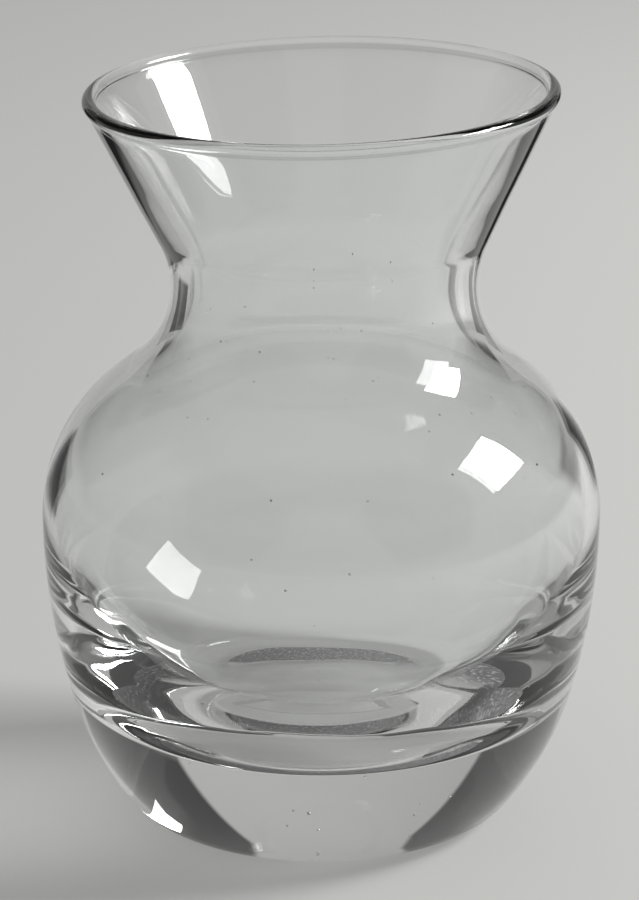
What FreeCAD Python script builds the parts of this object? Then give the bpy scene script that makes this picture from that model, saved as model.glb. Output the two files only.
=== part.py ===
import FreeCAD, Part
import math
import os

# Rose bowl vase in clear glass: a thick solid base, a round bowl, a drawn-in neck, a flared mouth and
# a rounded lip. Everything is turned about the Z axis. Z is up, and the vase stands on Z = 0.
# The glass is one piece on the real vase. Here it is four zones that meet face to face.

# Outside, from the table up. A draw is how far a point lies in from the widest radius.
heel_lift = 0.35
heel_height = 4.2
heel_draw = 13.4
taper_height = 21.5
taper_draw = 4.6
widest_radius = 48.0
widest_height = 53.5
shoulder_rise = 40.8
neck_radius = 26.0
neck_curve = 18.0
mouth_rise = 34.75
mouth_radius = 40.0

# Glass thickness, from the lip down
lip_swell = 0.25
lip_wall = 1.9
neck_wall = 3.3
wall = 2.4
floor_height = 18.2
floor_radius = 13.0
floor_curve = 30.0

# The ring that the vase stands on, and the crowned recess inside it
ring_radius = 26.0
ring_width = 2.2
slope_width = 8.0
slope_rise = 1.4
crown_rise = 1.0

# Where the solid base ends and the bowl begins
base_height = 30.0

# Heights and radii that follow from those
neck_height = widest_height + shoulder_rise
overall_height = neck_height + mouth_rise
cavity_radius = widest_radius - wall
bead_radius = lip_wall / 2 + lip_swell
recess_radius = ring_radius - ring_width
crown_radius = recess_radius - slope_width
neck_draw = widest_radius - neck_radius
shoulder_curve = (neck_draw ** 2 + shoulder_rise ** 2) / (2 * neck_draw) - neck_curve
full_turn = 360


def at(radius, height):
    """A point of an outline: its distance from the axis, and its height."""
    return FreeCAD.Vector(radius, 0, height)


def towards(angle):
    """A unit direction in the outline's plane, by its angle above the horizontal."""
    return FreeCAD.Vector(math.cos(angle), 0, math.sin(angle))


def line(start, end):
    return Part.LineSegment(start, end).toShape()


def arc(start, centre, end):
    """The shorter arc about a centre."""
    middle = ((start - centre) + (end - centre)).normalize()
    return Part.Arc(start, centre + middle * (start - centre).Length, end).toShape()


def centre_of_arc(start, outward, end):
    """The centre of the arc that is square to a direction at its start and passes through its end."""
    chord = end - start
    return start + outward * (chord.dot(chord) / (2 * chord.dot(outward)))


def tangent_point(centre, radius, target):
    """Where a line from a target touches a circle, on the anticlockwise side seen from its centre."""
    reach = target - centre
    angle = math.atan2(reach.z, reach.x) + math.acos(radius / reach.Length)
    return centre + towards(angle) * radius


def radius_on(centre, point, height):
    """The distance from the axis, at a height, of the circle about a centre that holds a point."""
    return centre.x + math.sqrt((point - centre).Length ** 2 - (height - centre.z) ** 2)


def turned(edges):
    """The solid that a closed outline makes when it turns about the Z axis."""
    outline = Part.Face(Part.Wire(edges))
    return outline.revolve(at(0, 0), FreeCAD.Vector(0, 0, 1), full_turn)


# Points of the outside, from the standing ring to the neck
upwards = towards(math.pi / 2)
outwards = towards(0)
ring_edge = at(ring_radius, 0)
heel = at(widest_radius - heel_draw, heel_height)
taper_top = at(widest_radius - taper_draw, taper_height)
widest = at(widest_radius, widest_height)
side_centre = centre_of_arc(widest, outwards, taper_top)
taper_centre = centre_of_arc(taper_top, (taper_top - side_centre).normalize(), heel)
heel_way = (heel - taper_centre).normalize()
heel_round = (heel_height - heel_lift) / (1 + heel_way.z)
heel_centre = heel - heel_way * heel_round
heel_start = tangent_point(heel_centre, heel_round, ring_edge)
seam = at(radius_on(side_centre, widest, base_height), base_height)
shoulder_centre = at(widest_radius - shoulder_curve, widest_height)
neck_centre = at(neck_radius + neck_curve, neck_height)
shoulder_way = (neck_centre - shoulder_centre).normalize()
shoulder_end = shoulder_centre + shoulder_way * shoulder_curve
neck = at(neck_radius, neck_height)

# Points of the inside, from the neck to the floor
throat_radius = neck_radius - neck_wall
throat_way = throat_radius - shoulder_centre.x
shoulder_curve_inside = shoulder_curve - wall
neck_curve_inside = (shoulder_rise ** 2 + throat_way ** 2 - shoulder_curve_inside ** 2) / (
    2 * (shoulder_curve_inside - throat_way)
)
neck_inside = at(throat_radius, neck_height)
neck_centre_inside = at(throat_radius + neck_curve_inside, neck_height)
shoulder_way_inside = (neck_centre_inside - shoulder_centre).normalize()
shoulder_end_inside = shoulder_centre + shoulder_way_inside * shoulder_curve_inside
widest_inside = at(cavity_radius, widest_height)
floor_centre = at(floor_radius, floor_height + floor_curve)
floor_reach = cavity_radius - floor_radius
floor_drop = widest_height - floor_centre.z
cavity_round = (floor_reach ** 2 + floor_drop ** 2 - floor_curve ** 2) / (2 * (floor_reach - floor_curve))
cavity_centre = at(cavity_radius - cavity_round, widest_height)
cavity_low = cavity_centre + (floor_centre - cavity_centre).normalize() * cavity_round
seam_inside = at(radius_on(cavity_centre, widest_inside, base_height), base_height)
floor_edge = at(floor_radius, floor_height)

# Points of the recess under the base: a low dome inside a steeper slope
crown_top = at(0, slope_rise + crown_rise)
crown_edge = at(crown_radius, slope_rise)
crown_centre = centre_of_arc(crown_top, upwards, crown_edge)
recess_edge = at(recess_radius, 0)

# The lip bead sits square on the end of the flared wall
bead_centre = at(mouth_radius - bead_radius, overall_height - bead_radius)
flare_start = tangent_point(neck_centre, neck_curve + wall / 2, bead_centre)
flare_way = (bead_centre - flare_start).normalize()
across_wall = FreeCAD.Vector(flare_way.z, 0, -flare_way.x)
seat_drop = math.sqrt(bead_radius ** 2 - (lip_wall / 2) ** 2)
seat_middle = bead_centre - flare_way * seat_drop
seat_outside = seat_middle + across_wall * (lip_wall / 2)
seat_inside = seat_middle - across_wall * (lip_wall / 2)
flare = tangent_point(neck_centre, neck_curve, seat_outside)
flare_inside = tangent_point(neck_centre_inside, neck_curve_inside, seat_inside)


def make_base():
    """The solid glass under the bowl: recess, standing ring, rounded heel and the bowl's floor."""
    return turned([
        arc(crown_top, crown_centre, crown_edge),
        line(crown_edge, recess_edge),
        line(recess_edge, ring_edge),
        line(ring_edge, heel_start),
        arc(heel_start, heel_centre, heel),
        arc(heel, taper_centre, taper_top),
        arc(taper_top, side_centre, seam),
        line(seam, seam_inside),
        arc(seam_inside, cavity_centre, cavity_low),
        arc(cavity_low, floor_centre, floor_edge),
        line(floor_edge, at(0, floor_height)),
        line(at(0, floor_height), crown_top),
    ])


def make_bowl():
    """The round wall from the top of the base to the narrowest part of the neck."""
    return turned([
        arc(seam, side_centre, widest),
        arc(widest, shoulder_centre, shoulder_end),
        arc(shoulder_end, neck_centre, neck),
        line(neck, neck_inside),
        arc(neck_inside, neck_centre_inside, shoulder_end_inside),
        arc(shoulder_end_inside, shoulder_centre, widest_inside),
        arc(widest_inside, cavity_centre, seam_inside),
        line(seam_inside, seam),
    ])


def make_flared_mouth():
    """The wall from the neck up to the lip, which opens out in a straight flare."""
    return turned([
        arc(neck, neck_centre, flare),
        line(flare, seat_outside),
        line(seat_outside, seat_inside),
        line(seat_inside, flare_inside),
        arc(flare_inside, neck_centre_inside, neck_inside),
        line(neck_inside, neck),
    ])


def make_lip_bead():
    """The rounded, fire-polished bead on the end of the flared wall."""
    bead_top = bead_centre + flare_way * bead_radius
    return turned([
        Part.Arc(seat_outside, bead_top, seat_inside).toShape(),
        line(seat_inside, seat_outside),
    ])


zones = {
    "base": make_base,
    "bowl": make_bowl,
    "flared_mouth": make_flared_mouth,
    "lip_bead": make_lip_bead,
}

os.makedirs("parts", exist_ok=True)
for name, make in zones.items():
    make().exportStep(f"parts/{name}.step")
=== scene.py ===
"""Rose bowl vase in clear glass, with its pale studio floor, world, key lamp and camera.

The vase is one turned piece of glass. It stands for the four zones of the CAD frame.
"""

import math
import random

import bmesh
import bpy
from mathutils import Euler, Matrix, Vector, noise


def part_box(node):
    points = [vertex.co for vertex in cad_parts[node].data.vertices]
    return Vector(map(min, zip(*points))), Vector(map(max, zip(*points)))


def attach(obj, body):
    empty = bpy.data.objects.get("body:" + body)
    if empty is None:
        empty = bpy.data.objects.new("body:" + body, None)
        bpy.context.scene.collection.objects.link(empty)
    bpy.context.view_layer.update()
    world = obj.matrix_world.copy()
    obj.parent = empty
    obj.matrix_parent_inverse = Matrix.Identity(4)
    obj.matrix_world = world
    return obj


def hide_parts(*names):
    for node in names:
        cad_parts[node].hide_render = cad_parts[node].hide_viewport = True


bl_info = {
    "name": "Rose bowl vase",
    "version": (1, 0, 0),
    "blender": (4, 5, 0),
    "location": "View3D > Sidebar > Vase",
    "description": "Turns a clear glass rose bowl vase and sets up its studio",
    "category": "Add Mesh",
}

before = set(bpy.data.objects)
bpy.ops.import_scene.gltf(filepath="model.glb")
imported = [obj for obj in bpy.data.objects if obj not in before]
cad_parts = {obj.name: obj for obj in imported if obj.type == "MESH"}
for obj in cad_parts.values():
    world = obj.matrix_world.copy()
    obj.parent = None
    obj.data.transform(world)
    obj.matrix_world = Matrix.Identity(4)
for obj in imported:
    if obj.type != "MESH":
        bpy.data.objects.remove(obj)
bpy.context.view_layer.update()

MM = 0.001
CAD_ZONES = ("base", "bowl", "flared_mouth", "lip_bead")
BODY = "root"
VASE = "glass_vase"

BOWL_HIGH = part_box("bowl")[1]
LIP_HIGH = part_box("lip_bead")[1]

UP = Vector((0, 0, 1))
OUT = Vector((1, 0, 0))


def in_mm(metres):
    return metres / MM


def millimetres(name, description, default):
    """A length that the user can change, stored in metres and given here in millimetres."""
    return bpy.props.FloatProperty(
        name=name, description=description, default=default * MM, min=0.0, unit="LENGTH", precision=5
    )


def hex_linear(code):
    """The linear RGBA of an sRGB colour written as a hex code."""
    channels = [int(code[i : i + 2], 16) / 255 for i in (1, 3, 5)]
    return tuple(c / 12.92 if c <= 0.04045 else ((c + 0.055) / 1.055) ** 2.4 for c in channels) + (1.0,)


def colour(name, description, code):
    """A colour that the user can change, given as a hex code."""
    return bpy.props.FloatVectorProperty(
        name=name, description=description, default=hex_linear(code), size=4, min=0.0, max=1.0,
        subtype="COLOR",
    )


class VaseShape(bpy.types.PropertyGroup):
    """Sizes of the glass, from the foot up"""

    crown_rise: millimetres("Crown rise", "How much higher the recess is in the middle than at its edge", 1.0)
    slope_rise: millimetres("Recess depth", "How far the slope rises from the standing ring", 1.4)
    slope_width: millimetres("Recess slope", "Width of the slope round the middle of the recess", 8.0)
    stipple_inner: millimetres("Stipple inside", "Inner radius of the stippled part of the recess", 6.0)
    ring_radius: millimetres("Ring radius", "Outer radius of the standing ring", 26.0)
    ring_width: millimetres("Ring width", "Width of the flat standing ring", 2.2)
    heel_lift: millimetres("Heel lift", "Height at which the rounded heel begins", 0.35)
    heel_radius: millimetres("Heel radius", "Radius at the top of the rounded heel", 34.6)
    heel_height: millimetres("Heel height", "Height of the top of the rounded heel", 4.2)
    taper_radius: millimetres("Taper radius", "Radius at the top of the taper above the heel", 43.4)
    taper_height: millimetres("Taper height", "Height of the top of the taper", 21.5)
    widest_radius: millimetres("Widest radius", "Radius of the bowl at its widest", in_mm(BOWL_HIGH.x))
    widest_height: millimetres("Widest height", "Height at which the bowl is widest", 53.5)
    neck_radius: millimetres("Neck radius", "Outer radius at the narrowest part of the neck", 26.0)
    neck_height: millimetres("Neck height", "Height of the narrowest part", in_mm(BOWL_HIGH.z))
    neck_curve: millimetres("Neck curve", "Radius of the curve into the neck, seen from the side", 18.0)
    mouth_radius: millimetres("Mouth radius", "Outer radius of the lip", in_mm(LIP_HIGH.x))
    lip_height: millimetres("Lip height", "Height of the lip's highest point", in_mm(LIP_HIGH.z))
    lip_swell: millimetres("Lip swell", "How far the polished bead stands out from the wall", 0.25)
    lip_blend: millimetres("Lip blend", "Radius of the curve that joins the bead to the wall", 1.5)
    lip_wall: millimetres("Lip wall", "Thickness of the wall just under the lip", 1.9)
    neck_wall: millimetres("Neck wall", "Thickness of the wall at the narrowest part of the neck", 3.3)
    wall: millimetres("Wall", "Thickness of the bowl's wall", 2.4)
    floor_height: millimetres("Floor height", "Height of the bowl's floor inside", 18.2)
    floor_radius: millimetres("Floor radius", "Radius of the flat middle of the bowl's floor", 13.0)
    floor_curve: millimetres("Floor curve", "Radius of the curve round the floor, seen from the side", 30.0)
    lip_tilt: bpy.props.FloatProperty(
        name="Lip tilt", description="How far the hand-finished lip is out of level",
        default=math.radians(1.27), subtype="ANGLE",
    )
    wander: bpy.props.FloatProperty(
        name="Wander", description="Share of the hand-made wander of the axis that is kept",
        default=1.0, min=0.0,
    )
    ripple: millimetres("Ripple", "Depth of the faint waves in the surface", 0.04)
    chill: millimetres(
        "Chill marks", "Depth of the short waves that the mould leaves inside, low in the bowl", 0.05
    )
    seed_count: bpy.props.IntProperty(
        name="Seeds", description="Number of small air bubbles in the wall of the bowl",
        default=90, min=0, max=400,
    )
    seed_radius: millimetres("Seed size", "Radius of the largest air bubble", 0.22)
    seed_pattern: bpy.props.IntProperty(
        name="Seed pattern", description="Start of the random places", default=7
    )
    turn_steps: bpy.props.IntProperty(
        name="Steps round", description="Number of faces round the vase", default=256, min=24, max=512
    )


class VaseFinish(bpy.types.PropertyGroup):
    """Colours and finish of the glass"""

    glass_colour: colour("Glass colour", "Tint that light takes on at each surface", "#FBFCFC")
    index: bpy.props.FloatProperty(
        name="Refractive index", description="Soda-lime glass is about 1.52", default=1.52, min=1.0, max=2.0
    )
    # Painted shade: this dark grey stands in for the dark surroundings that the stippled slope reflects
    # inside the glass
    stipple_painted_shade: colour("Stipple, painted shade", "Colour of the stippled slope under the foot", "#6A6A6A")
    stipple_pale: colour("Stipple, pale", "Colour of the fine specks in the stipple", "#B4B4B4")
    shade_facing: bpy.props.FloatProperty(
        name="Shade, facing", description="Share of light let through where the glass faces it", default=0.97
    )
    shade_edge: bpy.props.FloatProperty(
        name="Shade, edge", description="Share of light let through where the glass is edge on", default=0.6
    )


class VaseStudio(bpy.types.PropertyGroup):
    """Floor, light and camera"""

    floor_colour: colour("Floor colour", "Paper that the vase stands on", "#C0C0BE")
    panel_colour: colour(
        "Panel colour", "Pale paper standing round the vase, as the glass sees it", "#9A9A98"
    )
    gap_colour: colour("Gap colour", "Dark room between the papers, as the glass sees it", "#3C3C3C")
    sky_colour: colour("Sky colour", "Pale background for the camera", "#AEAEAC")
    key_power: bpy.props.FloatProperty(
        name="Key power", description="Power of the soft key lamp", default=66.0, min=0.0, unit="POWER"
    )
    key_size: millimetres("Key size", "Side of the square key lamp", 730.0)
    lens: bpy.props.FloatProperty(
        name="Lens", description="Focal length of the camera", default=162.71, unit="CAMERA"
    )


# Outline of the glass

# Finest turn of the outline from one point to the next, on the walls and on the small lip bead
WALL_STEP = math.radians(1.75)
BEAD_STEP = math.radians(8.0)
SMALL_RADIUS = 3 * MM
LINE_STEP = 2 * MM
WELD = 1e-6


def at(radius, height):
    """A point of the outline: its distance from the axis, and its height."""
    return Vector((radius, 0, height))


def towards(angle):
    """A unit direction in the outline's plane, by its angle above the horizontal."""
    return at(math.cos(angle), math.sin(angle))


def centre_of_arc(start, outward, end):
    """The centre of the arc that is square to a direction at its start and passes through its end."""
    chord = end - start
    return start + outward * (chord.length_squared / (2 * chord.dot(outward)))


def tangent_point(centre, radius, target):
    """Where a line from a target touches a circle, on the anticlockwise side seen from its centre."""
    reach = target - centre
    return centre + towards(math.atan2(reach.z, reach.x) + math.acos(radius / reach.length)) * radius


def outline_strokes(s, lip_height):
    """The half section of the glass, from the middle of the recess round the lip to the middle of the floor.

    Each stroke is its end point, the centre it turns about, or None for a straight one, and whether it goes
    the long way round."""
    ring_edge = at(s.ring_radius, 0)
    recess_edge = at(s.ring_radius - s.ring_width, 0)
    crown_top = at(0, s.slope_rise + s.crown_rise)
    crown_edge = at(recess_edge.x - s.slope_width, s.slope_rise)

    heel = at(s.heel_radius, s.heel_height)
    taper_top = at(s.taper_radius, s.taper_height)
    widest = at(s.widest_radius, s.widest_height)
    side_centre = centre_of_arc(widest, OUT, taper_top)
    taper_centre = centre_of_arc(taper_top, (taper_top - side_centre).normalized(), heel)
    heel_way = (heel - taper_centre).normalized()
    heel_round = (s.heel_height - s.heel_lift) / (1 + heel_way.z)
    heel_centre = heel - heel_way * heel_round
    heel_start = tangent_point(heel_centre, heel_round, ring_edge)

    draw, rise = s.widest_radius - s.neck_radius, s.neck_height - s.widest_height
    shoulder_round = (draw ** 2 + rise ** 2) / (2 * draw) - s.neck_curve
    shoulder_centre = at(s.widest_radius - shoulder_round, s.widest_height)
    neck_centre = at(s.neck_radius + s.neck_curve, s.neck_height)
    shoulder_way = (neck_centre - shoulder_centre).normalized()
    # Inside, the neck's curve keeps its height and still meets the shoulder's curve smoothly
    shoulder_in = shoulder_round - s.wall
    throat = s.neck_radius - s.neck_wall
    throat_way = throat - shoulder_centre.x
    neck_in = (rise ** 2 + throat_way ** 2 - shoulder_in ** 2) / (2 * (shoulder_in - throat_way))
    neck_centre_in = at(throat + neck_in, s.neck_height)
    shoulder_way_in = (neck_centre_in - shoulder_centre).normalized()

    bead_round = s.lip_wall / 2 + s.lip_swell
    bead_centre = at(s.mouth_radius - bead_round, lip_height - bead_round)
    flare_start = tangent_point(neck_centre, s.neck_curve + s.lip_wall / 2, bead_centre)
    flare_way = (bead_centre - flare_start).normalized()
    across = at(flare_way.z, -flare_way.x)
    blend_reach = bead_round + s.lip_blend
    blend_side = s.lip_wall / 2 + s.lip_blend
    blend_drop = math.sqrt(blend_reach ** 2 - blend_side ** 2)
    blend_foot = bead_centre - flare_way * blend_drop
    blend_out, blend_in = blend_foot + across * blend_side, blend_foot - across * blend_side
    on_bead = bead_round / blend_reach
    wall_out, wall_in = blend_foot + across * (s.lip_wall / 2), blend_foot - across * (s.lip_wall / 2)

    cavity_edge = at(s.widest_radius - s.wall, s.widest_height)
    floor_centre = at(s.floor_radius, s.floor_height + s.floor_curve)
    # The side of the cavity is upright at its widest and runs smoothly into the floor's curve
    reach, drop = cavity_edge.x - s.floor_radius, s.widest_height - floor_centre.z
    cavity_round = (reach ** 2 + drop ** 2 - s.floor_curve ** 2) / (2 * (reach - s.floor_curve))
    cavity_centre = at(cavity_edge.x - cavity_round, s.widest_height)
    cavity_low = cavity_centre + (floor_centre - cavity_centre).normalized() * cavity_round
    strokes = [
        (crown_edge, centre_of_arc(crown_top, UP, crown_edge), False),
        (recess_edge, None, False),
        (ring_edge, None, False),
        (heel_start, None, False),
        (heel, heel_centre, False),
        (taper_top, taper_centre, False),
        (widest, side_centre, False),
        (shoulder_centre + shoulder_way * shoulder_round, shoulder_centre, False),
        (tangent_point(neck_centre, s.neck_curve, wall_out), neck_centre, False),
        (wall_out, None, False),
        (bead_centre.lerp(blend_out, on_bead), blend_out, False),
        (bead_centre.lerp(blend_in, on_bead), bead_centre, True),
        (wall_in, blend_in, False),
        (tangent_point(neck_centre_in, neck_in, wall_in), None, False),
        (shoulder_centre + shoulder_way_in * shoulder_in, neck_centre_in, False),
        (cavity_edge, shoulder_centre, False),
        (cavity_low, cavity_centre, False),
        (at(s.floor_radius, s.floor_height), floor_centre, False),
        (at(0, s.floor_height), None, False),
    ]
    return crown_top, strokes


def draw_straight(bm, vert, end):
    start = vert.co.copy()
    steps = max(1, math.ceil((end - start).length / LINE_STEP))
    for i in range(steps):
        vert = bmesh.ops.extrude_vert_indiv(bm, verts=[vert])["verts"][0]
        vert.co = start.lerp(end, (i + 1) / steps)
    return vert


def draw_arc(bm, vert, centre, end, long_way):
    first, last = vert.co - centre, end - centre
    turn = (math.atan2(last.z, last.x) - math.atan2(first.z, first.x) + math.pi) % math.tau - math.pi
    if long_way:
        turn -= math.copysign(math.tau, turn)
    finest = BEAD_STEP if first.length < SMALL_RADIUS else WALL_STEP
    steps = max(2, math.ceil(abs(turn) / finest))
    made = bmesh.ops.spin(bm, geom=[vert], cent=centre, axis=(0, -1, 0), angle=turn, steps=steps)
    vert = next(g for g in made["geom_last"] if isinstance(g, bmesh.types.BMVert))
    vert.co = end
    return vert


def wander_at(height, stations):
    """How far the axis has wandered sideways at a height, eased from one station to the next."""
    for (low, shift_low), (high, shift_high) in zip(stations, stations[1:]):
        if height <= high:
            t = max(0.0, (height - low) / (high - low))
            return shift_low + (shift_high - shift_low) * t * t * (3 - 2 * t)
    return stations[-1][1]


def eased(low, high, value):
    t = min(1.0, max(0.0, (value - low) / (high - low)))
    return t * t * (3 - 2 * t)


# How far the axis has shifted at the foot, round the neck and on the flare, and the heights of the last two
FOOT_SHIFT, NECK_SHIFT, FLARE_SHIFT = -0.3 * MM, 0.45 * MM, 0.15 * MM
SHIFTED_FROM, SHIFTED_TO, FLARE_STATION = 80 * MM, 97 * MM, 112 * MM
# The axis stays true up to this share of the widest height
TRUE_SHARE = 1.12

# Lengths of the waves in the glass. Creases are longer round the vase than up it.
RIPPLE_LENGTH = 22 * MM
FLARE_CREASE, FLARE_CREASE_UP = 7 * MM, 2.2 * MM
CHILL_CREASE, CHILL_CREASE_UP = 9 * MM, 3.5 * MM
# The creases on the flare are this share of the ripple deep
FLARE_CREASE_SHARE = 0.3
# Keeps the waves inside from following those outside
INNER_OFFSET = Vector((7.3, 1.9, 4.1))
# Where the waves come in, and where the chill marks fade again
RIPPLE_START = 0.5 * MM
FLARE_CREASE_RISE = 12 * MM
CHILL_START_SHARE, CHILL_FULL_SHARE = 1.02, 1.5
CHILL_FADE, CHILL_END = 35 * MM, 55 * MM


def in_waves(place, length, length_up):
    """A place counted in wave lengths, which differ round the vase and up it."""
    return Vector((place.x / length, place.y / length, place.z / length_up))


def hand_finish(bm, s, lip_height):
    """Gives the turned glass what handwork leaves: a lip out of level, a wandering axis and faint ripples."""
    stations = [
        (0.0, FOOT_SHIFT), (s.taper_height, 0.0), (s.widest_height * TRUE_SHARE, 0.0),
        (SHIFTED_FROM, NECK_SHIFT), (SHIFTED_TO, NECK_SHIFT), (FLARE_STATION, FLARE_SHIFT), (lip_height, 0.0),
    ]
    bm.normal_update()
    for v in bm.verts:
        radius, height = math.hypot(v.co.x, v.co.y), v.co.z
        over_floor = radius < s.widest_radius / 2 and height > s.floor_height / 2
        inward = v.normal.x * v.co.x + v.normal.y * v.co.y < 0 or over_floor
        place = v.co / RIPPLE_LENGTH + (INNER_OFFSET if inward else Vector())
        depth = s.ripple * (noise.noise(place) - 1) / 2 * eased(RIPPLE_START, s.heel_height * 2, height)
        if inward:
            low = eased(s.floor_height * CHILL_START_SHARE, s.floor_height * CHILL_FULL_SHARE, height)
            low *= 1 - eased(CHILL_FADE, CHILL_END, height)
            depth += s.chill * noise.noise(in_waves(v.co, CHILL_CREASE, CHILL_CREASE_UP)) * low
        else:
            crease = abs(noise.noise(in_waves(v.co, FLARE_CREASE, FLARE_CREASE_UP)))
            flared = eased(s.neck_height, s.neck_height + FLARE_CREASE_RISE, height)
            depth -= s.ripple * FLARE_CREASE_SHARE * crease * flared
        tilt = math.tan(s.lip_tilt) * v.co.x * eased(s.neck_height, lip_height, height)
        v.co += v.normal * depth
        v.co.x += wander_at(height, stations) * s.wander
        v.co.z += tilt


def new_piece(name, bm, materials):
    mesh = bpy.data.meshes.new(name)
    bm.to_mesh(mesh)
    bm.free()
    for material in materials:
        mesh.materials.append(material)
    obj = bpy.data.objects.new(name, mesh)
    bpy.context.scene.collection.objects.link(obj)
    return obj


# Materials

# How fast the lamp's light is lost towards the glass's edges
EDGE_BLEND = 0.35
# Size of the stipple's specks, and the noise values between which a speck turns pale
SPECK = 0.5 * MM
SPECK_LOW, SPECK_HIGH = 0.56, 0.68
# From front to back, where the painted shade on the stippled slope starts to grow and where it is full, and
# the share of it that is left at the front
SHADE_FRONT, SHADE_BACK = -2 * MM, 6 * MM
SHADE_FRONT_SHARE = 0.12


def add_node(tree, kind, settings=None, inputs=None):
    """Adds a node, gives it its settings, and sets or links its inputs by name or number."""
    node = tree.nodes.new(kind)
    for key, value in (settings or {}).items():
        setattr(node, key, value)
    for key, value in (inputs or {}).items():
        if isinstance(value, bpy.types.NodeSocket):
            tree.links.new(value, node.inputs[key])
        else:
            node.inputs[key].default_value = value
    return node


def empty_tree(owner):
    owner.use_nodes = True
    owner.node_tree.nodes.clear()
    return owner.node_tree


def polished_glass(name, finish, texture=None):
    """Soda-lime glass, blown in a mould and fire-polished: colourless and mirror smooth, with crisp
    highlights and clear refraction. Lamps shine through it to the floor, less where it is edge on, so that
    its shadow is pale with darker rims."""
    material = bpy.data.materials.new(name)
    tree = empty_tree(material)
    glass = add_node(tree, "ShaderNodeBsdfPrincipled", inputs={
        "Base Color": finish.glass_colour, "Roughness": 0.0, "IOR": finish.index, "Transmission Weight": 1.0,
    })
    if texture:
        glass = texture(tree, finish, glass)
    facing = add_node(tree, "ShaderNodeLayerWeight", inputs={"Blend": EDGE_BLEND})
    shade = add_node(tree, "ShaderNodeMapRange", inputs={
        "Value": facing.outputs["Facing"], "From Min": 0.0, "From Max": 1.0,
        "To Min": finish.shade_facing, "To Max": finish.shade_edge,
    })
    through = add_node(tree, "ShaderNodeBsdfTransparent", inputs={"Color": shade.outputs["Result"]})
    path = add_node(tree, "ShaderNodeLightPath")
    mixed = add_node(tree, "ShaderNodeMixShader", inputs={
        0: path.outputs["Is Shadow Ray"], 1: glass.outputs[0], 2: through.outputs[0],
    })
    add_node(tree, "ShaderNodeOutputMaterial", inputs={"Surface": mixed.outputs[0]})
    return material


def stipple(tree, finish, glass):
    """The stippled slope round the recess. Where smooth glass would throw light back inside, a dark grey
    diffuse
    with fine pale specks takes its place: painted shade for the dark surroundings that the slope reflects."""
    place = add_node(tree, "ShaderNodeTexCoord")
    specks = add_node(tree, "ShaderNodeTexNoise", inputs={
        "Vector": place.outputs["Object"], "Scale": 1 / SPECK, "Detail": 1.0,
    })
    share = add_node(tree, "ShaderNodeMapRange", inputs={
        "Value": specks.outputs["Fac"], "From Min": SPECK_LOW, "From Max": SPECK_HIGH,
    })
    shade_and_speck_colour = add_node(tree, "ShaderNodeMix", {"data_type": "RGBA"}, {
        0: share.outputs["Result"], 6: finish.stipple_painted_shade, 7: finish.stipple_pale,
    })
    # Painted shade: dark grey diffuse with pale specks, lit by what reaches it through the glass
    painted_shade_diffuse = add_node(tree, "ShaderNodeBsdfDiffuse", inputs={"Color": shade_and_speck_colour.outputs[2]})
    thrown_back = add_node(tree, "ShaderNodeFresnel", inputs={"IOR": finish.index})
    # Painted shade: the dark grey is weak on the front of the slope, towards the camera, and full behind,
    # where smooth glass would reflect the dark surroundings
    depth = add_node(tree, "ShaderNodeSeparateXYZ", inputs={0: place.outputs["Object"]})
    shade_to_back = add_node(tree, "ShaderNodeMapRange", {"interpolation_type": "SMOOTHSTEP"}, {
        "Value": depth.outputs["Y"], "From Min": SHADE_FRONT, "From Max": SHADE_BACK, "To Min": SHADE_FRONT_SHARE,
    })
    painted_shade_cover = add_node(tree, "ShaderNodeMath", {"operation": "MULTIPLY"}, {
        0: thrown_back.outputs["Fac"], 1: shade_to_back.outputs["Result"],
    })
    return add_node(tree, "ShaderNodeMixShader", inputs={
        0: painted_shade_cover.outputs[0], 1: glass.outputs[0], 2: painted_shade_diffuse.outputs[0],
    })


# Operators

FLOOR_REACH = 8.0
FLOOR_GAP = 0.02 * MM
FADE_START, FADE_END = 0.4, 1.2
# The dark strips on the floor: the middle and half the width of each, as x over y
STRIPS = ((0.51, 0.11), (-0.81, 0.26))
STRIP_SOFT = 0.02
# Round the vase the floor stays pale
CLEAR_RADIUS, CLEAR_SOFT = 0.2, 0.04
PAPER_ROUGHNESS, PAPER_SHEEN = 0.9, 0.2

# Seeds lie between these shares of the wall's or the floor's thickness, and have these shares of full size
SEED_DEPTH_SHARES = (0.3, 0.7)
SEED_SIZE_SHARES = (0.3, 1.0)
SEED_SUBDIVISIONS = 2
# The base has one seed for so many in the wall
WALL_SEEDS_PER_BASE_SEED = 8

GLASS_BOUNCES, GLOSSY_BOUNCES = 24, 12

# The papers round the vase, in parts of a unit direction: half their width, how it shrinks with height and
# the least it comes to, how far the one behind stands to the left, and how soft their edges are
PAPER_HALF_WIDTH, PAPER_LEAN, PAPER_LEAST_HALF_WIDTH = 0.58, -0.5, 0.32
PAPER_SHIFT = 0.05
PAPER_SOFT = 0.02
# Heights between which the papers end
PAPER_GONE, PAPER_FULL = 0.77, 0.6
# Heights at which a band starts and is full, and how pale it is: the low wall all round, and the ceiling
BANDS = ((0.12, 0.04, 1.0), (0.8, 0.95, 0.6))
# How much stronger the light is behind the vase and on its right
MORE_BEHIND, MORE_RIGHT = 0.35, 0.3

KEY_PLACE, KEY_AIM = Vector((1.64, 0.16, 1.17)), Vector((0, 0, 0.06))
CAMERA_PLACE = (0.0, -0.662, 0.2857)
# How far the camera looks down, and how far it is turned, in degrees
CAMERA_DOWN, CAMERA_TURN = 18.48, 0.026
SENSOR_WIDTH = 36.0


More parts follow.
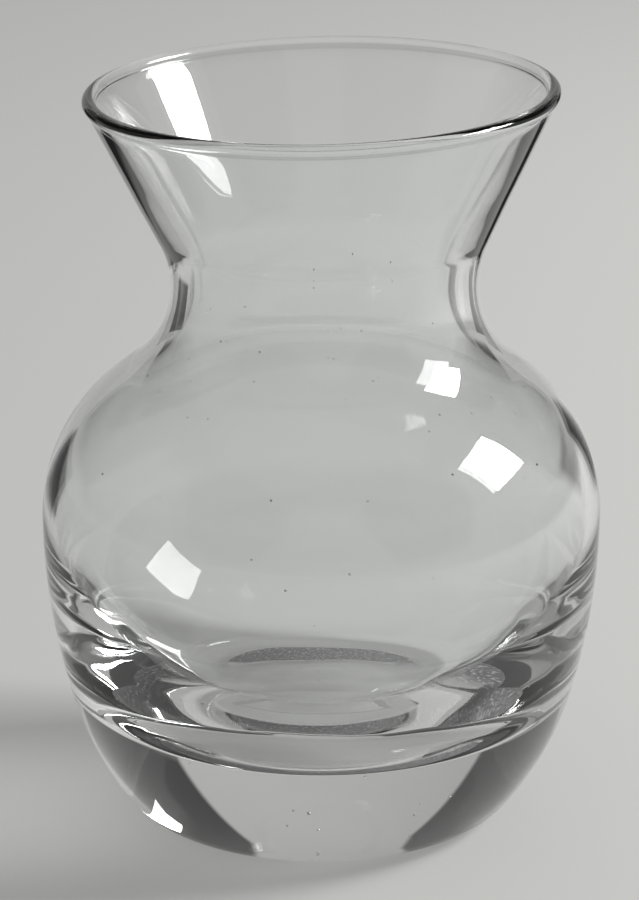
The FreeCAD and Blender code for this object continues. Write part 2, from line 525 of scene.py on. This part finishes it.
class VASE_OT_glass(bpy.types.Operator):
    """Turn the glass of the vase from its half section"""

    bl_idname = "vase.glass"
    bl_label = "Glass"

    def execute(self, context):
        s, finish = context.scene.vase_shape, context.scene.vase_finish
        lip_height = s.lip_height - math.tan(s.lip_tilt) * s.mouth_radius
        bm = bmesh.new()
        start, strokes = outline_strokes(s, lip_height)
        vert = bm.verts.new(start)
        for end, centre, long_way in strokes:
            vert = draw_arc(bm, vert, centre, end, long_way) if centre else draw_straight(bm, vert, end)
        bmesh.ops.spin(
            bm, geom=bm.verts[:] + bm.edges[:], cent=(0, 0, 0), axis=(0, 0, 1), angle=math.tau,
            steps=s.turn_steps, use_merge=True,
        )
        bmesh.ops.remove_doubles(bm, verts=bm.verts[:], dist=WELD)
        bmesh.ops.recalc_face_normals(bm, faces=bm.faces[:])
        slope_outer = s.ring_radius - s.ring_width
        slope_inner = s.stipple_inner
        for face in bm.faces:
            face.smooth = True
            middle = face.calc_center_median()
            radius = math.hypot(middle.x, middle.y)
            in_recess = middle.z < s.slope_rise + s.crown_rise
            face.material_index = int(in_recess and slope_inner < radius < slope_outer)
        hand_finish(bm, s, lip_height)
        if any(not edge.is_manifold for edge in bm.edges):
            raise RuntimeError("the glass isn't closed")
        vase = new_piece(VASE, bm, [
            polished_glass("Fire-polished soda-lime glass", finish),
            # The second slot paints shade on the stippled slope round the recess
            polished_glass("Stippled soda-lime glass with painted shade", finish, stipple),
        ])
        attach(vase, BODY)
        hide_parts(*CAD_ZONES)
        return {"FINISHED"}


class VASE_OT_seeds(bpy.types.Operator):
    """Leave seeds, the small air bubbles of blown glass, in the walls and the base"""

    bl_idname = "vase.seeds"
    bl_label = "Seeds"

    def execute(self, context):
        s = context.scene.vase_shape
        mesh = bpy.data.objects[VASE].data
        bm = bmesh.new()
        bm.from_mesh(mesh)
        chance = random.Random(s.seed_pattern)
        outer = [
            v for v in bm.verts
            if v.normal.x * v.co.x + v.normal.y * v.co.y > 0 and s.floor_height < v.co.z < s.neck_height
            and math.hypot(v.co.x, v.co.y) > s.neck_radius
        ]
        places = []
        for _ in range(s.seed_count):
            v = chance.choice(outer)
            places.append(v.co - v.normal * s.wall * chance.uniform(*SEED_DEPTH_SHARES))
        for _ in range(s.seed_count // WALL_SEEDS_PER_BASE_SEED):
            way = towards(chance.uniform(0, math.tau)) * chance.uniform(0, s.ring_radius)
            places.append(Vector((way.x, way.z, s.floor_height * chance.uniform(*SEED_DEPTH_SHARES))))
        for place in places:
            size = s.seed_radius * chance.uniform(*SEED_SIZE_SHARES)
            made = bmesh.ops.create_icosphere(
                bm, subdivisions=SEED_SUBDIVISIONS, radius=size, matrix=Matrix.Translation(place)
            )
            faces = {face for v in made["verts"] for face in v.link_faces}
            for face in faces:
                face.smooth = True
            bmesh.ops.reverse_faces(bm, faces=list(faces))
        bm.to_mesh(mesh)
        bm.free()
        return {"FINISHED"}


class VASE_OT_studio(bpy.types.Operator):
    """Set up the paper floor, the papers and the dark room round it, the key lamp and the camera"""

    bl_idname = "vase.studio"
    bl_label = "Studio"

    def execute(self, context):
        scene, studio = context.scene, context.scene.vase_studio
        self.make_floor(studio)
        self.make_world(scene, studio)
        self.make_key(scene, studio)
        self.make_camera(scene, studio)
        scene.view_settings.view_transform = "Standard"
        # Light goes through up to four walls and the thick base, and back off the floor
        scene.cycles.max_bounces = GLASS_BOUNCES
        scene.cycles.transmission_bounces = GLASS_BOUNCES
        scene.cycles.glossy_bounces = GLOSSY_BOUNCES
        scene.cycles.caustics_refractive = False
        scene.cycles.caustics_reflective = False
        return {"FINISHED"}

    def make_floor(self, studio):
        bm = bmesh.new()
        bmesh.ops.create_grid(bm, x_segments=1, y_segments=1, size=FLOOR_REACH)
        bmesh.ops.translate(bm, verts=bm.verts[:], vec=(0, 0, -FLOOR_GAP))
        material = bpy.data.materials.new("Matt pale paper")
        tree = empty_tree(material)
        place = add_node(tree, "ShaderNodeTexCoord").outputs["Object"]
        way = add_node(tree, "ShaderNodeSeparateXYZ", inputs={0: place})
        reach = add_node(tree, "ShaderNodeVectorMath", {"operation": "LENGTH"}, {0: place}).outputs["Value"]
        behind = add_node(tree, "ShaderNodeMath", {"operation": "MAXIMUM"}, {0: way.outputs["Y"], 1: WELD})
        slant = add_node(tree, "ShaderNodeMath", {"operation": "DIVIDE"}, {
            0: way.outputs["X"], 1: behind.outputs[0],
        })

        # Two dark strips run away behind the vase. Only the glass picks them up, as dark edges.
        strips = []
        for middle, half_width in STRIPS:
            off = add_node(tree, "ShaderNodeMath", {"operation": "SUBTRACT"}, {
                0: slant.outputs[0], 1: middle,
            })
            off = add_node(tree, "ShaderNodeMath", {"operation": "ABSOLUTE"}, {0: off.outputs[0]})
            strips.append(add_node(tree, "ShaderNodeMapRange", {"interpolation_type": "SMOOTHSTEP"}, {
                "Value": off.outputs[0],
                "From Min": half_width + STRIP_SOFT, "From Max": half_width - STRIP_SOFT,
            }))
        right, left = strips
        dark = add_node(tree, "ShaderNodeMath", {"operation": "MAXIMUM"}, {
            0: right.outputs[0], 1: left.outputs[0],
        })
        path = add_node(tree, "ShaderNodeLightPath")
        by_glass = add_node(tree, "ShaderNodeMath", {"operation": "MAXIMUM"}, {
            0: path.outputs["Is Transmission Ray"], 1: path.outputs["Is Glossy Ray"],
        })
        away = add_node(tree, "ShaderNodeMapRange", {"interpolation_type": "SMOOTHSTEP"}, {
            "Value": reach, "From Min": CLEAR_RADIUS, "From Max": CLEAR_RADIUS + CLEAR_SOFT,
        })
        for factor in (by_glass, away):
            dark = add_node(tree, "ShaderNodeMath", {"operation": "MULTIPLY"}, {
                0: dark.outputs[0], 1: factor.outputs[0],
            })

        # Uncoated paper: soft and matt, with hardly any sheen. Far off it fades into the pale background.
        paper = add_node(tree, "ShaderNodeBsdfPrincipled", inputs={
            "Base Color": studio.floor_colour, "Roughness": PAPER_ROUGHNESS,
            "Specular IOR Level": PAPER_SHEEN,
        })
        pale = add_node(tree, "ShaderNodeEmission", inputs={"Color": studio.sky_colour})
        far = add_node(tree, "ShaderNodeMapRange", {"interpolation_type": "SMOOTHSTEP"}, {
            "Value": reach, "From Min": FADE_START, "From Max": FADE_END,
        })
        faded = add_node(tree, "ShaderNodeMixShader", inputs={
            0: far.outputs[0], 1: paper.outputs[0], 2: pale.outputs[0],
        })
        felt = add_node(tree, "ShaderNodeEmission", inputs={"Color": studio.gap_colour})
        mixed = add_node(tree, "ShaderNodeMixShader", inputs={
            0: dark.outputs[0], 1: faded.outputs[0], 2: felt.outputs[0],
        })
        add_node(tree, "ShaderNodeOutputMaterial", inputs={"Surface": mixed.outputs[0]})
        new_piece("paper_floor", bm, [material])

    def make_world(self, scene, studio):
        world = bpy.data.worlds.new("Studio surroundings")
        scene.world = world
        tree = empty_tree(world)
        way = add_node(tree, "ShaderNodeSeparateXYZ", inputs={
            0: add_node(tree, "ShaderNodeTexCoord").outputs["Generated"],
        })
        height = way.outputs["Z"]

        # A paper stands on each of the four sides. The one behind the vase is a little left of its middle.
        x = add_node(tree, "ShaderNodeMath", {"operation": "MULTIPLY_ADD"}, {
            0: way.outputs["Y"], 1: PAPER_SHIFT, 2: way.outputs["X"],
        })
        x = add_node(tree, "ShaderNodeMath", {"operation": "ABSOLUTE"}, {0: x.outputs[0]})
        y = add_node(tree, "ShaderNodeMath", {"operation": "ABSOLUTE"}, {0: way.outputs["Y"]})
        far = add_node(tree, "ShaderNodeMath", {"operation": "MAXIMUM"}, {0: x.outputs[0], 1: y.outputs[0]})
        near = add_node(tree, "ShaderNodeMath", {"operation": "MINIMUM"}, {
            0: x.outputs[0], 1: y.outputs[0],
        })

        # It leans back, so it looks narrower higher up, and it ends below the ceiling
        wide = add_node(tree, "ShaderNodeMath", {"operation": "MULTIPLY"}, {
            0: far.outputs[0], 1: PAPER_HALF_WIDTH,
        })
        lean = add_node(tree, "ShaderNodeMath", {"operation": "MULTIPLY_ADD"}, {
            0: height, 1: PAPER_LEAN, 2: wide.outputs[0],
        })
        narrow = add_node(tree, "ShaderNodeMath", {"operation": "MULTIPLY"}, {
            0: far.outputs[0], 1: PAPER_LEAST_HALF_WIDTH,
        })
        edge = add_node(tree, "ShaderNodeMath", {"operation": "MAXIMUM"}, {
            0: lean.outputs[0], 1: narrow.outputs[0],
        })
        inside = add_node(tree, "ShaderNodeMath", {"operation": "SUBTRACT"}, {
            0: edge.outputs[0], 1: near.outputs[0],
        })
        panel = add_node(tree, "ShaderNodeMapRange", {"interpolation_type": "SMOOTHSTEP"}, {
            "Value": inside.outputs[0], "From Min": -PAPER_SOFT, "From Max": PAPER_SOFT,
        })
        below_top = add_node(tree, "ShaderNodeMapRange", {"interpolation_type": "SMOOTHSTEP"}, {
            "Value": height, "From Min": PAPER_GONE, "From Max": PAPER_FULL,
        })
        pale = add_node(tree, "ShaderNodeMath", {"operation": "MULTIPLY"}, {
            0: panel.outputs[0], 1: below_top.outputs[0],
        })
        # Pale low wall all round, and a dim ceiling
        for start, end, share in BANDS:
            band = add_node(tree, "ShaderNodeMapRange", {"interpolation_type": "SMOOTHSTEP"}, {
                "Value": height, "From Min": start, "From Max": end, "To Max": share,
            })
            pale = add_node(tree, "ShaderNodeMath", {"operation": "MAXIMUM"}, {
                0: pale.outputs[0], 1: band.outputs[0],
            })

        # The light is stronger behind the vase and on its right
        side = add_node(tree, "ShaderNodeMath", {"operation": "MULTIPLY_ADD"}, {
            0: way.outputs["Y"], 1: MORE_BEHIND, 2: 1.0,
        })
        side = add_node(tree, "ShaderNodeMath", {"operation": "MULTIPLY_ADD"}, {
            0: way.outputs["X"], 1: MORE_RIGHT, 2: side.outputs[0],
        })
        lit = add_node(tree, "ShaderNodeVectorMath", {"operation": "SCALE"}, {
            0: studio.panel_colour[:3], "Scale": side.outputs[0],
        })
        around = add_node(tree, "ShaderNodeMix", {"data_type": "RGBA"}, {
            0: pale.outputs[0], 6: studio.gap_colour, 7: lit.outputs[0],
        })
        seen = add_node(tree, "ShaderNodeMix", {"data_type": "RGBA"}, {
            0: add_node(tree, "ShaderNodeLightPath").outputs["Is Camera Ray"],
            6: around.outputs[2], 7: studio.sky_colour,
        })
        background = add_node(tree, "ShaderNodeBackground", inputs={
            "Color": seen.outputs[2], "Strength": 1.0,
        })
        add_node(tree, "ShaderNodeOutputWorld", inputs={"Surface": background.outputs[0]})

    def make_key(self, scene, studio):
        """A square softbox high on the right, which makes the window-like highlights."""
        lamp = bpy.data.lights.new("key_lamp", "AREA")
        lamp.shape, lamp.size, lamp.energy = "SQUARE", studio.key_size, studio.key_power
        key = bpy.data.objects.new("key_lamp", lamp)
        turned = (KEY_AIM - KEY_PLACE).to_track_quat("-Z", "Y").to_matrix().to_4x4()
        key.matrix_world = Matrix.Translation(KEY_PLACE) @ turned
        key.visible_camera = False
        scene.collection.objects.link(key)

    def make_camera(self, scene, studio):
        data = bpy.data.cameras.new("camera")
        data.lens, data.sensor_width = studio.lens, SENSOR_WIDTH
        camera = bpy.data.objects.new("camera", data)
        camera.location = CAMERA_PLACE
        camera.rotation_euler = Euler((math.radians(90 - CAMERA_DOWN), 0.0, math.radians(CAMERA_TURN)))
        scene.collection.objects.link(camera)
        scene.camera = camera


class VASE_PT_tools(bpy.types.Panel):
    """Sizes and finish of the vase, and the steps that make it"""

    bl_idname = "VASE_PT_tools"
    bl_label = "Rose bowl vase"
    bl_space_type = "VIEW_3D"
    bl_region_type = "UI"
    bl_category = "Vase"

    def draw(self, context):
        for group, steps in (
            (context.scene.vase_shape, ("vase.glass", "vase.seeds")),
            (context.scene.vase_finish, ()),
            (context.scene.vase_studio, ("vase.studio",)),
        ):
            box = self.layout.box()
            for name in group.bl_rna.properties.keys():
                if name not in {"rna_type", "name"}:
                    box.prop(group, name)
            for step in steps:
                box.operator(step)


CLASSES = (VaseShape, VaseFinish, VaseStudio, VASE_OT_glass, VASE_OT_seeds, VASE_OT_studio, VASE_PT_tools)


def register():
    for cls in CLASSES:
        bpy.utils.register_class(cls)
    bpy.types.Scene.vase_shape = bpy.props.PointerProperty(type=VaseShape)
    bpy.types.Scene.vase_finish = bpy.props.PointerProperty(type=VaseFinish)
    bpy.types.Scene.vase_studio = bpy.props.PointerProperty(type=VaseStudio)


def unregister():
    for name in ("vase_shape", "vase_finish", "vase_studio"):
        delattr(bpy.types.Scene, name)
    for cls in reversed(CLASSES):
        bpy.utils.unregister_class(cls)


def main():
    register()
    bpy.ops.vase.glass()
    bpy.ops.vase.seeds()
    bpy.ops.vase.studio()


if __name__ == "__main__":
    main()
